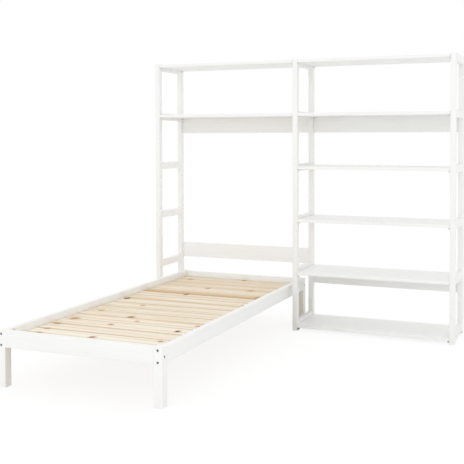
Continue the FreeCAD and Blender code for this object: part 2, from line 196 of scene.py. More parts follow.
@dataclass(frozen=True)
class PaintedPine(Finish):
    """White acrylic furniture paint, sprayed on planed pine and rubbed down.

    The eye gets a clean satin white in which the summer wood still stands up as faint lines, and here and
    there a knot yellows the coat. The reach of that bleed is given in knot radii.
    """

    grain: Grain
    coat: str = "#F7F7F6"
    thin_coat: str = "#EEEEEA"
    knot_bleed: str = "#EEE4C8"
    ring_spacing: float = 9.0 * MM
    ring_length: float = 260.0 * MM
    ring_detail: float = 3.0
    ring_band: tuple[float, float] = (0.42, 0.72)
    ring_strength: float = 0.6
    knot_spacing: float = 420.0 * MM
    knot_radius: float = 7.0 * MM
    knot_reach: tuple[float, float] = (0.4, 1.8)
    knot_share: float = 0.6
    mottle_size: float = 240.0 * MM
    mottle_detail: float = 2.0
    satin: float = 0.38
    matt: float = 0.5
    relief: float = 0.12 * MM
    relief_strength: float = 0.6
    ior: float = 1.47

    def surface(self, tree: NodeTree) -> Node:
        """Lay out the painted surface.

        Args:
            tree: The node tree that gets the nodes.

        Returns:
            The shader node of the paint.
        """
        place = add_node(tree, "TexCoord").outputs["Object"]
        turned = add_node(tree, "Mapping", {"Vector": place, "Rotation": self.grain.value})
        # real rings lie about 2 mm apart, here they are drawn wider apart so that they show
        rings = drawn_out_noise(tree, turned, self.ring_length, self.ring_spacing, self.ring_detail)
        mottle = add_node(
            tree, "TexNoise", {"Vector": place, "Scale": 1.0 / self.mottle_size, "Detail": self.mottle_detail}
        )
        cells = add_node(tree, "TexVoronoi", {"Vector": turned, "Scale": 1.0 / self.knot_spacing})
        start, end = (share * self.knot_radius / self.knot_spacing for share in self.knot_reach)
        ramp = {"Value": cells, "From Min": start, "From Max": end, "To Min": self.knot_share, "To Max": 0.0}
        knots = add_node(tree, "MapRange", ramp, interpolation_type="SMOOTHSTEP")
        start, end = self.ring_band
        ramp = {"Value": rings, "From Min": start, "From Max": end, "To Max": self.ring_strength}
        proud = add_node(tree, "MapRange", ramp, interpolation_type="SMOOTHSTEP")
        thin = add_node(tree, "Math", {0: proud, 1: mottle}, operation="MULTIPLY")
        ground = add_node(
            tree, "Mix", {0: thin, MIX_A: linear(self.coat), MIX_B: linear(self.thin_coat)}, data_type="RGBA"
        )
        colour = add_node(
            tree, "Mix", {0: knots, MIX_A: ground, MIX_B: linear(self.knot_bleed)}, data_type="RGBA"
        )
        sheen = add_node(tree, "MapRange", {"Value": mottle, "To Min": self.satin, "To Max": self.matt})
        sockets = {"Base Color": colour, "Roughness": sheen, "IOR": self.ior}
        return relief_shader(tree, rings, self.relief_strength, self.relief, sockets)


@dataclass(frozen=True)
class Knot:
    """One knot of the slat deck, in millimetres. Where it fades is given in shares of its size.

    Attributes:
        x: Its place along the slat.
        y: Its place along the bed.
        along: Half its size along the grain.
        across: Half its size across the grain.
        darkness: How dark its core is, from 0 to 1.
        core_fade: Where its core starts and ends to fade.
        rim_fade: Where the brown rim round it does.
        rim_strength: How brown that rim is, from 0 to 1.
    """

    x: float
    y: float
    along: float
    across: float
    darkness: float
    core_fade: tuple[float, float] = (0.75, 1.1)
    rim_fade: tuple[float, float] = (0.7, 2.1)
    rim_strength: float = 0.75

    def masks(self, tree: NodeTree, place: Wire) -> list[Node]:
        """Draw the knot.

        Args:
            tree: The node tree that gets the nodes.
            place: Position on the board, with the grain along X.

        Returns:
            Its dark core, its rim, and how far it pushes the rings aside.
        """
        centre = (self.x * MM, self.y * MM, 0.0)
        per_size = (1.0 / (self.along * MM), 1.0 / (self.across * MM), 0.0)
        offset = add_node(tree, "VectorMath", {0: place, 1: centre}, operation="SUBTRACT")
        ellipse = add_node(tree, "VectorMath", {0: offset, 1: per_size}, operation="MULTIPLY")
        reach = add_node(tree, "VectorMath", {0: ellipse}, operation="LENGTH")
        masks = []
        for (start, end), strength in ((self.core_fade, self.darkness), (self.rim_fade, self.rim_strength)):
            ramp = {"Value": reach, "From Min": start, "From Max": end, "To Min": strength, "To Max": 0.0}
            masks.append(add_node(tree, "MapRange", ramp, interpolation_type="SMOOTHSTEP"))
        sideways = add_node(tree, "SeparateXYZ", {"Vector": offset}).outputs["Y"]
        return [*masks, add_node(tree, "Math", {0: masks[1], 1: sideways}, operation="MULTIPLY")]


@dataclass(frozen=True)
class RawPine(Finish):
    """Planed, untreated pine.

    The eye gets pale straw-coloured wood with honey-coloured growth rings that draw long flames, brown knots
    that the rings bend round, and boards that differ in tone. A mesh may give three attributes: board picks
    the stretch of wood, tone goes from spring to heart wood, and edge is where painted shade darkens the
    sides of a slat, down in the gaps between slats.
    """

    grain: Grain = Grain.ALONG_X
    spring_wood: str = "#F9F2E3"
    summer_wood: str = "#DAC096"
    heart_wood: str = "#CFA873"
    # colour of the painted shade in the gaps between slats
    painted_gap_shade: str = "#D0AE7C"
    knot_core: str = "#4A270D"
    knot_rim: str = "#CB8740"
    knot_rim_share: float = 0.9
    board_shift: float = 0.37
    flame_width: float = 85.0 * MM
    flame_length: float = 2200.0 * MM
    flame_detail: float = 1.5
    rings_per_flame: float = 8.0
    ring_start: float = 0.45
    ring_strength: float = 0.6
    streak_width: float = 26.0 * MM
    streak_length: float = 1700.0 * MM
    streak_detail: float = 2.0
    streak_band: tuple[float, float] = (0.46, 0.68)
    streak_strength: float = 0.75
    fibre_width: float = 1.6 * MM
    fibre_length: float = 130.0 * MM
    fibre_detail: float = 2.0
    fibre_band: tuple[float, float] = (0.35, 0.7)
    fibre_strength: tuple[float, float] = (0.3, 1.4)
    satin: float = 0.42
    matt: float = 0.6
    relief: float = 0.15 * MM
    relief_strength: float = 0.5
    ior: float = 1.5
    knots: tuple[Knot, ...] = ()

    def knot_masks(self, tree: NodeTree, place: Wire) -> list[Node]:
        """Draw every knot.

        Args:
            tree: The node tree that gets the nodes.
            place: Position on the board, with the grain along X.

        Returns:
            All the cores, rims and sideways pushes in three nodes, or nothing without knots.
        """
        together: list[Node] = []
        for knot in self.knots:
            masks = knot.masks(tree, place)
            together = [
                add_node(tree, "Math", {0: before, 1: mask}, operation=way)
                for before, mask, way in zip(together, masks, ("MAXIMUM", "MAXIMUM", "ADD"))
            ] or masks
        return together

    def growth_lines(self, tree: NodeTree, place: Wire, fibre: Wire) -> Node:
        """Draw the summer wood.

        Args:
            tree: The node tree that gets the nodes.
            place: Position in the tree trunk, with the grain along X.
            fibre: The pattern of the fibres, which breaks up the lines.

        Returns:
            How much summer wood there is, from 0 to 1.
        """
        # the contour lines of a long, slow pattern are the flames that a flat-sawn board shows
        flames = drawn_out_noise(tree, place, self.flame_length, self.flame_width, self.flame_detail)
        counted = add_node(tree, "Math", {0: flames, 1: self.rings_per_flame}, operation="MULTIPLY")
        ring = add_node(tree, "Math", {0: counted, 1: 1.0}, operation="PINGPONG")
        ramp = {"Value": ring, "From Min": self.ring_start, "From Max": 1.0, "To Max": self.ring_strength}
        summer = add_node(tree, "MapRange", ramp, interpolation_type="SMOOTHSTEP")
        (start, end), (low, high) = self.fibre_band, self.fibre_strength
        ramp = {"Value": fibre, "From Min": start, "From Max": end, "To Min": low, "To Max": high}
        broken = add_node(tree, "MapRange", ramp)
        flamed = add_node(tree, "Math", {0: summer, 1: broken}, operation="MULTIPLY")
        # growth rings lie 2 to 4 mm apart, and these bands of them are drawn wide enough to show
        streaks = drawn_out_noise(tree, place, self.streak_length, self.streak_width, self.streak_detail)
        start, end = self.streak_band
        ramp = {"Value": streaks, "From Min": start, "From Max": end, "To Max": self.streak_strength}
        banded = add_node(tree, "MapRange", ramp, interpolation_type="SMOOTHSTEP")
        return add_node(tree, "Math", {0: flamed, 1: banded}, operation="MAXIMUM")

    def surface(self, tree: NodeTree) -> Node:
        """Lay out the bare wood.

        Args:
            tree: The node tree that gets the nodes.

        Returns:
            The shader node of the wood.
        """
        place = add_node(tree, "TexCoord").outputs["Object"]
        turned = add_node(tree, "Mapping", {"Vector": place, "Rotation": self.grain.value})
        knots = self.knot_masks(tree, turned)
        keys = ("board", "tone", "edge")
        board, tone, edge = (add_node(tree, "Attribute", attribute_name=key).outputs["Fac"] for key in keys)
        shift = add_node(tree, "Math", {0: board, 1: self.board_shift}, operation="MULTIPLY")
        if knots:
            shift = add_node(tree, "Math", {0: shift, 1: knots[2]}, operation="SUBTRACT")
        sideways = add_node(tree, "CombineXYZ", {"X": board, "Y": shift, "Z": board})
        moved = add_node(tree, "VectorMath", {0: turned, 1: sideways}, operation="ADD")
        fibre = drawn_out_noise(tree, moved, self.fibre_length, self.fibre_width, self.fibre_detail)
        lines = self.growth_lines(tree, moved, fibre)
        colour = add_node(
            tree,
            "Mix",
            {0: tone, MIX_A: linear(self.spring_wood), MIX_B: linear(self.heart_wood)},
            data_type="RGBA",
        )
        coats = [(lines, self.summer_wood)]
        if knots:
            rim = add_node(tree, "Math", {0: knots[1], 1: self.knot_rim_share}, operation="MULTIPLY")
            coats += [(rim, self.knot_rim), (knots[0], self.knot_core)]
        # painted shade: the narrow edges of a slat, down in the gaps between slats, are drawn darker than its
        # face
        coats.append((edge, self.painted_gap_shade))
        for share, coat in coats:
            colour = add_node(tree, "Mix", {0: share, MIX_A: colour, MIX_B: linear(coat)}, data_type="RGBA")
        sheen = add_node(tree, "MapRange", {"Value": fibre, "To Min": self.satin, "To Max": self.matt})
        sockets = {"Base Color": colour, "Roughness": sheen, "IOR": self.ior}
        return relief_shader(tree, lines, self.relief_strength, self.relief, sockets)


@dataclass(frozen=True)
class HalfPaintedLeg(Finish):
    """A painted leg whose faces towards the inside of the bed are left bare, or drawn with a faint warm tint
    of bare wood.

    Attributes:
        bare_way: Outward direction of the faces that are left bare.
        cover: How much paint the bare face still has, from 0 to 1.
        coat: The paint of the other faces.
        wood: The bare wood.
        turn: How squarely a face has to look that way, as a cosine, to be left bare.
    """

    bare_way: tuple[float, float, float]
    cover: float
    coat: PaintedPine
    wood: RawPine
    turn: tuple[float, float] = (0.8, 0.95)

    def surface(self, tree: NodeTree) -> Node:
        """Lay out paint and bare wood.

        Args:
            tree: The node tree that gets the nodes.

        Returns:
            The shader node of the leg.
        """
        facing = add_node(tree, "NewGeometry").outputs["Normal"]
        towards = add_node(tree, "VectorMath", {0: facing, 1: self.bare_way}, operation="DOT_PRODUCT")
        start, end = self.turn
        ramp = {"Value": towards, "From Min": start, "From Max": end, "To Max": 1.0 - self.cover}
        bare = add_node(tree, "MapRange", ramp)
        return add_node(tree, "MixShader", {0: bare, 1: self.coat.surface(tree), 2: self.wood.surface(tree)})


@dataclass(frozen=True)
class FittingSteel(Finish):
    """Steel of a furniture fitting, black oxide or zinc plated.

    The eye gets a dull dark or grey metal whose plating clouds a little and is brighter where a key rubs it.
    """

    colour: str
    rubbed: str
    metallic: float
    roughness: float
    cloud_size: float = 3.0 * MM
    cloud_detail: float = 3.0
    tumble_size: float = 0.35 * MM
    tumble_detail: float = 1.0
    smoother: float = 0.08
    rougher: float = 0.12
    relief: float = 0.02 * MM
    relief_strength: float = 0.3

    def surface(self, tree: NodeTree) -> Node:
        """Lay out the plated or blackened steel.

        Args:
            tree: The node tree that gets the nodes.

        Returns:
            The shader node of the steel.
        """
        place = add_node(tree, "TexCoord").outputs["Object"]
        clouds, pits = (
            add_node(tree, "TexNoise", {"Vector": place, "Scale": 1.0 / size, "Detail": detail})
            for size, detail in ((self.cloud_size, self.cloud_detail), (self.tumble_size, self.tumble_detail))
        )
        colour = add_node(
            tree, "Mix", {0: clouds, MIX_A: linear(self.colour), MIX_B: linear(self.rubbed)}, data_type="RGBA"
        )
        smooth, rough = self.roughness - self.smoother, self.roughness + self.rougher
        sheen = add_node(tree, "MapRange", {"Value": pits, "To Min": smooth, "To Max": rough})
        sockets = {"Base Color": colour, "Metallic": self.metallic, "Roughness": sheen}
        return relief_shader(tree, pits, self.relief_strength, self.relief, sockets)


@dataclass(frozen=True)
class MouldedNylon(Finish):
    """Injection-moulded polyamide 6 with a fine spark-eroded skin: an even, matt plastic."""

    colour: str
    worn: str
    spark_size: float = 0.4 * MM
    spark_detail: float = 2.0
    roughness: float = 0.48
    relief: float = 0.03 * MM
    relief_strength: float = 0.25
    ior: float = 1.53

    def surface(self, tree: NodeTree) -> Node:
        """Lay out the plastic skin.

        Args:
            tree: The node tree that gets the nodes.

        Returns:
            The shader node of the plastic.
        """
        place = add_node(tree, "TexCoord").outputs["Object"]
        skin = add_node(
            tree, "TexNoise", {"Vector": place, "Scale": 1.0 / self.spark_size, "Detail": self.spark_detail}
        )
        colour = add_node(
            tree, "Mix", {0: skin, MIX_A: linear(self.colour), MIX_B: linear(self.worn)}, data_type="RGBA"
        )
        sockets = {"Base Color": colour, "Roughness": self.roughness, "IOR": self.ior}
        return relief_shader(tree, skin, self.relief_strength, self.relief, sockets)


@dataclass(frozen=True)
class FloorPaper(Finish):
    """Matt white background paper, which shows white to the camera and keeps a soft shadow."""

    low_tone: str = "#F4F4F3"
    high_tone: str = "#F9F9F8"
    clouds_per_metre: float = 9.0
    cloud_detail: float = 4.0
    glow: float = 1.03
    glow_share: float = 0.85

    def surface(self, tree: NodeTree) -> Node:
        """Lay out the paper.

        Args:
            tree: The node tree that gets the nodes.

        Returns:
            The shader node of the paper.
        """
        place = add_node(tree, "TexCoord").outputs["Object"]
        clouds = add_node(
            tree, "TexNoise", {"Vector": place, "Scale": self.clouds_per_metre, "Detail": self.cloud_detail}
        )
        colour = add_node(
            tree,
            "Mix",
            {0: clouds, MIX_A: linear(self.low_tone), MIX_B: linear(self.high_tone)},
            data_type="RGBA",
        )
        paper = add_node(tree, "BsdfDiffuse", {"Color": colour})
        shine = add_node(tree, "Emission", {"Color": WHITE, "Strength": self.glow})
        seen = add_node(tree, "LightPath").outputs["Is Camera Ray"]
        share = add_node(tree, "Math", {0: seen, 1: self.glow_share}, operation="MULTIPLY")
        return add_node(tree, "MixShader", {0: share, 1: paper, 2: shine})


def only(piece: Object) -> None:
    """Select one piece and nothing else."""
    bpy.ops.object.select_all(action="DESELECT")
    piece.select_set(True)
    bpy.context.view_layer.objects.active = piece


def settle(piece: Object) -> None:
    """Put the place, turn and size of a piece into its mesh."""
    only(piece)
    bpy.ops.object.transform_apply(location=True, rotation=True, scale=True)


def new_block(low: Vector, high: Vector) -> Object:
    """Add a block between two corners.

    Args:
        low: Lowest corner.
        high: Highest corner.

    Returns:
        The block, with its place in its mesh.
    """
    bpy.ops.object.select_all(action="DESELECT")
    bpy.ops.mesh.primitive_cube_add(size=1.0, location=(low + high) / 2.0)
    block = bpy.context.object
    block.scale = high - low
    settle(block)
    return block


def new_bar(sides: int, radius: float, top: float, bottom: float) -> Object:
    """Add an upright round or many-sided bar on the Z axis.

    Args:
        sides: Number of sides.
        radius: Distance of the corners from the axis.
        top: Height of its top.
        bottom: Height of its bottom.

    Returns:
        The bar, with its place in its mesh.
    """
    bpy.ops.object.select_all(action="DESELECT")
    bpy.ops.mesh.primitive_cylinder_add(
        vertices=sides, radius=radius, depth=top - bottom, location=(0.0, 0.0, (top + bottom) / 2.0)
    )
    bar = bpy.context.object
    settle(bar)
    return bar


def new_drill(sides: int, radius: float, depth: float, mouth: Vector) -> Object:
    """Add the cutter for a hole that is bored along X.

    Args:
        sides: Number of sides.
        radius: Radius of the hole.
        depth: Its depth, and how far the cutter stands out of its mouth.
        mouth: Middle of its mouth.

    Returns:
        The cutter, with its place in its mesh.
    """
    drill = new_bar(sides, radius, depth, -depth)
    drill.rotation_euler = (0.0, math.pi / 2.0, 0.0)
    drill.location = mouth
    settle(drill)
    return drill


def open_mesh(piece: Object, kind: str) -> bmesh.types.BMesh:
    """Go into edit mode with nothing selected.

    Args:
        piece: The piece to shape.
        kind: What is picked next, EDGE or FACE.

    Returns:
        The mesh to pick from.
    """
    only(piece)
    bpy.ops.object.mode_set(mode="EDIT")
    bpy.ops.mesh.select_mode(type=kind)
    bpy.ops.mesh.select_all(action="DESELECT")
    return bmesh.from_edit_mesh(piece.data)


def round_edges(
    piece: Object, radius: float, segments: int, wanted: Callable[[Vector, Vector], bool]
) -> None:
    """Round some edges of a piece.

    Args:
        piece: The piece to shape.
        radius: Radius of the rounding.
        segments: Number of flats that it is made of.
        wanted: Test of the two ends of an edge.
    """
    for edge in open_mesh(piece, "EDGE").edges:
        edge.select = wanted(edge.verts[0].co, edge.verts[1].co)
    bmesh.update_edit_mesh(piece.data)
    bpy.ops.mesh.bevel(offset=radius, segments=segments, affect="EDGES")
    bpy.ops.object.mode_set(mode="OBJECT")


def open_lower_face(piece: Object) -> None:
    """Go into edit mode with the face that looks down selected."""
    for face in open_mesh(piece, "FACE").faces:
        face.select = face.normal.z < LOOKS_DOWN
    bmesh.update_edit_mesh(piece.data)


def draw_shank(piece: Object, step: float, length: float, chamfer: float) -> None:
    """Draw a thinner shank out of the lower face of a head.

    Args:
        piece: The head.
        step: How much smaller the radius of the shank is.
        length: Length of the shank.
        chamfer: Size of the chamfer at its tip.
    """
    open_lower_face(piece)
    bpy.ops.mesh.inset(thickness=step)
    bpy.ops.mesh.extrude_region_move(TRANSFORM_OT_translate={"value": (0.0, 0.0, -length)})
    bpy.ops.mesh.bevel(offset=chamfer, segments=1, affect="EDGES")
    bpy.ops.object.mode_set(mode="OBJECT")


def cut(piece: Object, cutter: Object) -> None:
    """Cut one shape out of a piece, and delete the cutter."""
    only(piece)
    tool = piece.modifiers.new("cut", "BOOLEAN")
    tool.operation = "DIFFERENCE"
    tool.solver = "EXACT"
    tool.object = cutter
    bpy.ops.object.modifier_apply(modifier=tool.name)
    bpy.data.objects.remove(cutter)


def fit_together(pieces: list[Object], name: str, material: Material, node: str) -> None:
    """Join finished pieces, dress them and put them in place of their solids.

    Args:
        pieces: The finished pieces, which become one object.
        name: Name of that object.
        material: Its finish.
        node: The solids that it stands for.
    """
    only(pieces[0])
    for other in pieces[1:]:
        other.select_set(True)
        bpy.ops.object.join()
    piece = bpy.context.object
    piece.name = name
    only(piece)
    bpy.ops.object.shade_smooth_by_angle(angle=SMOOTH_ANGLE)
    piece.data.materials.clear()
    piece.data.materials.append(material)
    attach(piece, "root")
    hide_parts(node)
    log.info("piece %s, %d faces", piece.name, len(piece.data.polygons))


def set_out(
    model: Object,
    spots: list[Spot],
    name: str,
    material: Material,
    node: str,
) -> None:
    """Copy a modelled fitting to its spots and put the copies in place of their solids.

    Args:
        model: The fitting as modelled at the origin, head up. It is used up.
        spots: Where the origin of each copy goes, and which way its head points.
        name: Name of the piece.
        material: Its finish.
        node: The solids that it stands for.
    """
    copies = []
    for place, head_way in spots:
        twin = model.copy()
        twin.data = model.data.copy()
        bpy.context.scene.collection.objects.link(twin)
        twin.matrix_world = Matrix.Translation(place) @ UP.rotation_difference(head_way).to_matrix().to_4x4()
        settle(twin)
        copies.append(twin)
    bpy.data.objects.remove(model)
    fit_together(copies, name, material, node)


def dress(material: Material, *nodes: str) -> None:
    """Give solids that keep their shape their finish.

    Args:
        material: The finish.
        *nodes: The solids.
    """
    for node in nodes:
        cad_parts[node].material_slots[0].material = material
        log.info("solid %s, %s", node, material.name)


@dataclass(frozen=True)
class PinRows:
    """The rows of holes for shelf pins, one on each inner face of a post."""

    front_inset: float = 15.0 * MM
    rear_inset: float = 26.0 * MM
    first_height: float = 16.0 * MM
    pitch: float = 32.0 * MM
    holes: int = 56
    holes_per_shelf: int = 11
    radius: float = 3.0 * MM
    depth: float = 10.0 * MM
    sides: int = 12


@dataclass
class LadderFrames:
    """Three ladder frames: posts with rows of holes for shelf pins, and rungs between them."""

    paint_z: Material
    paint_y: Material
    rows: PinRows = PinRows()
    rungs: int = 6
    edge_radius: float = 2.0 * MM
    edge_segments: int = 3
    end_radius: float = 1.0 * MM
    end_segments: int = 2
    recess_radius: float = 6.35 * MM
    recess_depth: float = 5.5 * MM
    recess_sides: int = 24
    inner_ways: dict[str, tuple[int, ...]] = field(
        default_factory=lambda: {"left": (1,), "middle": (-1, 1), "right": (-1,)}
    )

    def hole_row(self, mouth: Vector) -> Object:
        """Make the cutter for one row of holes.

        Args:
            mouth: Middle of the mouth of the lowest hole.

        Returns:
            The cutter.
        """
        cutter = new_drill(self.rows.sides, self.rows.radius, self.rows.depth, mouth)
        row = cutter.modifiers.new("row", "ARRAY")
        row.count = self.rows.holes
        row.use_relative_offset = False
        row.use_constant_offset = True
        row.constant_offset_displace = (0.0, 0.0, self.rows.pitch)
        bpy.ops.object.modifier_apply(modifier=row.name)
        return cutter

    def post(self, side: str, place: str) -> None:
        """Model one post in place of its solid.

        Args:
            side: Which frame it belongs to.
            place: Front or rear.
        """
        node = f"{side}_{place}_post"
        low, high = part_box(node)
        post = new_block(low, high)
        round_edges(post, self.edge_radius, self.edge_segments, lambda a, b: abs(a.z - b.z) > NEAR)
        round_edges(post, self.end_radius, self.end_segments, lambda a, b: abs(a.z - b.z) < NEAR)
        row_y = low.y + self.rows.front_inset if place == "front" else high.y - self.rows.rear_inset
        for way in self.inner_ways[side]:
            face_x = high.x if way > 0 else low.x
            cut(post, self.hole_row(Vector((face_x, row_y, self.rows.first_height))))
        if side == "left":
            mouth = Vector((low.x, (low.y + high.y) / 2.0, FRAME_BOLT_HEIGHT))
            cut(post, new_drill(self.recess_sides, self.recess_radius, self.recess_depth, mouth))
        fit_together([post], f"{node}_bored", self.paint_z, node)

    def build(self) -> None:
        """Model every post and dress every rung."""
        for side in self.inner_ways:
            for place in ("front", "rear"):
                self.post(side, place)
            dress(self.paint_y, *(f"{side}_rung_{number + 1}" for number in range(self.rungs)))


@dataclass
class ShelfPin:
    """A pin with its shank in a post and its head under a shelf."""

    shank_radius: float = 3.0 * MM
    shank_length: float = 9.0 * MM
    head_radius: float = 5.0 * MM
    head_length: float = 12.0 * MM
    sides: int = 20
    rim: float = 1.0 * MM
    rim_segments: int = 2
    chamfer: float = 0.5 * MM

    def build(self) -> Object:
        """Model the pin on the Z axis, head up, with the face of the post at zero, and return it."""
        pin = new_bar(self.sides, self.head_radius, self.head_length, 0.0)
        rim_height = self.head_length - NEAR
        round_edges(pin, self.rim, self.rim_segments, lambda a, b: min(a.z, b.z) > rim_height)
        draw_shank(pin, self.head_radius - self.shank_radius, self.shank_length, self.chamfer)
        return pin


@dataclass
class SocketBolt:
    """A round-headed furniture bolt with a hexagon socket."""

    length: float
    head_radius: float = 6.2 * MM
    head_depth: float = 5.0 * MM
    shank_radius: float = 3.0 * MM
    sides: int = 32
    key_width: float = 5.0 * MM
    socket_depth: float = 2.6 * MM
    rim: float = 0.9 * MM
    rim_segments: int = 3
    chamfer: float = 0.8 * MM

    def build(self) -> Object:
        """Model the bolt on the Z axis, with its face at zero and its tip down, and return it."""
        bolt = new_bar(self.sides, self.head_radius, 0.0, -self.head_depth)
        round_edges(bolt, self.rim, self.rim_segments, lambda a, b: min(a.z, b.z) > -NEAR)
        draw_shank(bolt, self.head_radius - self.shank_radius, self.length - self.head_depth, self.chamfer)
        corner = self.key_width / 2.0 / math.cos(math.pi / 6.0)
        cut(bolt, new_bar(6, corner, self.socket_depth, -self.socket_depth))
        return bolt


@dataclass
class CrossScrew:
    """A countersunk chipboard screw with a cross recess."""

    top_radius: float = 4.0 * MM
    end_radius: float = 2.0 * MM
    head_depth: float = 2.0 * MM
    length: float = 35.0 * MM
    taper: float = 0.9
    slot_length: float = 4.2 * MM
    slot_width: float = 0.9 * MM
    slot_depth: float = 1.2 * MM
    sides: int = 20

    def head(self) -> Object:
        """Model the plain head on the Z axis, with its face at zero, and return it."""
        bpy.ops.object.select_all(action="DESELECT")
        bpy.ops.mesh.primitive_cone_add(
            vertices=self.sides,
            radius1=self.end_radius,
            radius2=self.top_radius,
            depth=self.head_depth,
            location=(0.0, 0.0, -self.head_depth / 2.0),
        )
        head = bpy.context.object
        settle(head)
        return head

    def cross(self, piece: Object) -> None:
        """Cut the cross recess into a head."""
        half_length, half_width = self.slot_length / 2.0, self.slot_width / 2.0
        for half_x, half_y in ((half_length, half_width), (half_width, half_length)):
            half = Vector((half_x, half_y, self.slot_depth))
            cut(piece, new_block(-half, half))

    def build(self) -> Object:
        """Model the screw on the Z axis, with its face at zero and its tip down, and return it."""
        screw = self.head()
        open_lower_face(screw)
        reach = self.length - self.head_depth
        bpy.ops.mesh.extrude_region_move(TRANSFORM_OT_translate={"value": (0.0, 0.0, -reach)})
        bpy.ops.transform.resize(value=(self.taper, self.taper, 1.0))
        bpy.ops.object.mode_set(mode="OBJECT")
        self.cross(screw)
        return screw


@dataclass
class CrossCam(CrossScrew):
    """The cam of a back board: a round block with a cross recess and a blunted rim."""

    top_radius: float = 7.5 * MM
    end_radius: float = 7.5 * MM
    head_depth: float = 12.5 * MM
    slot_length: float = 9.0 * MM
    slot_width: float = 1.6 * MM
    slot_depth: float = 1.5 * MM
    sides: int = 28
    rim: float = 0.4 * MM

    def build(self) -> Object:
        """Model the cam on the Z axis, with its slotted face at zero, and return it."""
        cam = self.head()
        self.cross(cam)
        inside = self.top_radius - self.rim

        def on_rim(a: Vector, b: Vector) -> bool:
            """Tell whether both ends of an edge lie on the rim of the slotted face."""
            return min(a.z, b.z) > -NEAR and min(a.xy.length, b.xy.length) > inside

        round_edges(cam, self.rim, 1, on_rim)
        return cam


@dataclass
class Shelving:
    """Eight shelves and the pins that carry them."""

    paint_x: Material
    nylon: Material
    dark: Material
    rows: PinRows = PinRows()
    levels: dict[str, tuple[int, ...]] = field(
        default_factory=lambda: {"left": (4, 5), "right": (0, 1, 2, 3, 4, 5)}
    )
    sides: dict[str, tuple[str, str]] = field(
        default_factory=lambda: {"left": ("left", "middle"), "right": ("middle", "right")}
    )

    def pin_spots(self, wanted: Callable[[int], bool]) -> list[Spot]:
        """Find where the pins of some shelves sit.

        Args:
            wanted: Test of a level, counted up from the lowest shelf.

        Returns:
            The place of each pin on the face of its post, and the way its head points.
        """
        spots = []
        rise = self.rows.holes_per_shelf * self.rows.pitch
        for bay, levels in self.levels.items():
            for side, way in zip(self.sides[bay], (1.0, -1.0)):
                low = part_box(f"{side}_front_post")[0]
                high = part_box(f"{side}_rear_post")[1]
                face_x = high.x if way > 0.0 else low.x
                for level in filter(wanted, levels):
                    height = self.rows.first_height + level * rise
                    for y in (low.y + self.rows.front_inset, high.y - self.rows.rear_inset):
                        spots.append((Vector((face_x, y, height)), Vector((way, 0.0, 0.0))))
        return spots

    def build(self) -> None:
        """Dress the shelves and model the pins."""
        for bay, levels in self.levels.items():
            dress(self.paint_x, *(f"{bay}_shelf_{level + 1}" for level in levels))
        lowest = self.pin_spots(lambda level: level == 0)
        others = self.pin_spots(lambda level: level > 0)
        set_out(ShelfPin().build(), lowest, "dark_pins", self.dark, "bottom_shelf_pins")
        set_out(ShelfPin().build(), others, "white_pins", self.nylon, "shelf_pins")


@dataclass
class BackBoards:
    """Three back boards, the plank behind the pillow end, and their cams, bolts and dowels."""

    paint_x: Material
    bounce_corrected_paint_x: Material
    zinc: Material
    beech: Material
    cam_setback: float = 34.0 * MM
    fixing_spread: float = 52.0 * MM
    plank: str = "headboard_plank"
    boards: tuple[str, ...] = ("left_upper_back_board", "right_upper_back_board", "right_lower_back_board")

    def build(self) -> None:
        """Dress the boards and model the cams that show on their backs."""
        dress(self.paint_x, *self.boards)
        # the plank takes the cooler copy of the white paint, which cancels the warm light bounced onto it
        # from the deck
        dress(self.bounce_corrected_paint_x, self.plank)
        dress(self.zinc, "board_cam_bolts")
        dress(self.beech, "board_dowels")
        spots = []
        for board in (self.plank, *self.boards):
            low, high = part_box(board)
            height = (low.z + high.z - self.fixing_spread) / 2.0
            for x in (low.x + self.cam_setback, high.x - self.cam_setback):
                spots.append((Vector((x, high.y, height)), Vector((0.0, 1.0, 0.0))))
        set_out(CrossCam().build(), spots, "slotted_cams", self.zinc, "board_cams")


@dataclass
class BedFrame:
    """Legs, rails and the bolts that draw them together."""

    foot_leg: Material
    head_leg: Material
    paint_x: Material
    bounce_corrected_paint_x: Material
    paint_y: Material
    oxide: Material
    zinc: Material
    sink: float = 0.5 * MM
    end_heights: tuple[float, float] = (278.0 * MM, 220.0 * MM)
    side_height: float = 245.0 * MM
    leg_bolt_length: float = 102.5 * MM
    frame_bolt_length: float = 57.5 * MM

    def leg_bolts(self) -> None:
        """Model the bolts through the legs."""
        spots = []
        for corner in CORNERS:
            low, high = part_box(f"{corner}_leg")
            middle = (low + high) / 2.0
            side_x, out_x = (low.x, -1.0) if corner.endswith("left") else (high.x, 1.0)
            end_y, out_y = (low.y, -1.0) if corner.startswith("foot") else (high.y, 1.0)
            for height in self.end_heights:
                place = Vector((middle.x, end_y - out_y * self.sink, height))
                spots.append((place, Vector((0.0, out_y, 0.0))))
            place = Vector((side_x - out_x * self.sink, middle.y, self.side_height))
            spots.append((place, Vector((out_x, 0.0, 0.0))))
        bolt = SocketBolt(self.leg_bolt_length).build()
        set_out(bolt, spots, "socket_bolts", self.oxide, "leg_bolts")

    def frame_bolts(self) -> None:
        """Model the bolts that hold the bed to the left frame."""
        spots = []
        for post in ("left_front_post", "left_rear_post"):
            low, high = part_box(post)
            place = Vector((low.x + self.sink, (low.y + high.y) / 2.0, FRAME_BOLT_HEIGHT))
            spots.append((place, Vector((-1.0, 0.0, 0.0))))
        bolt = SocketBolt(self.frame_bolt_length).build()
        set_out(bolt, spots, "frame_socket_bolts", self.oxide, "frame_bolts")

    def build(self) -> None:
        """Dress the timber and model the bolts."""
        dress(self.foot_leg, "foot_left_leg", "foot_right_leg")
        dress(self.head_leg, "head_left_leg", "head_right_leg")
        dress(self.paint_y, "left_side_rail", "right_side_rail")
        dress(self.paint_x, "foot_board")
        # the head rail takes the cooler copy of the white paint, which cancels the warm light bounced onto it
        # from the deck
        dress(self.bounce_corrected_paint_x, "head_rail")
        dress(self.zinc, "barrel_nuts", "insert_nuts")
        self.leg_bolts()
        self.frame_bolts()


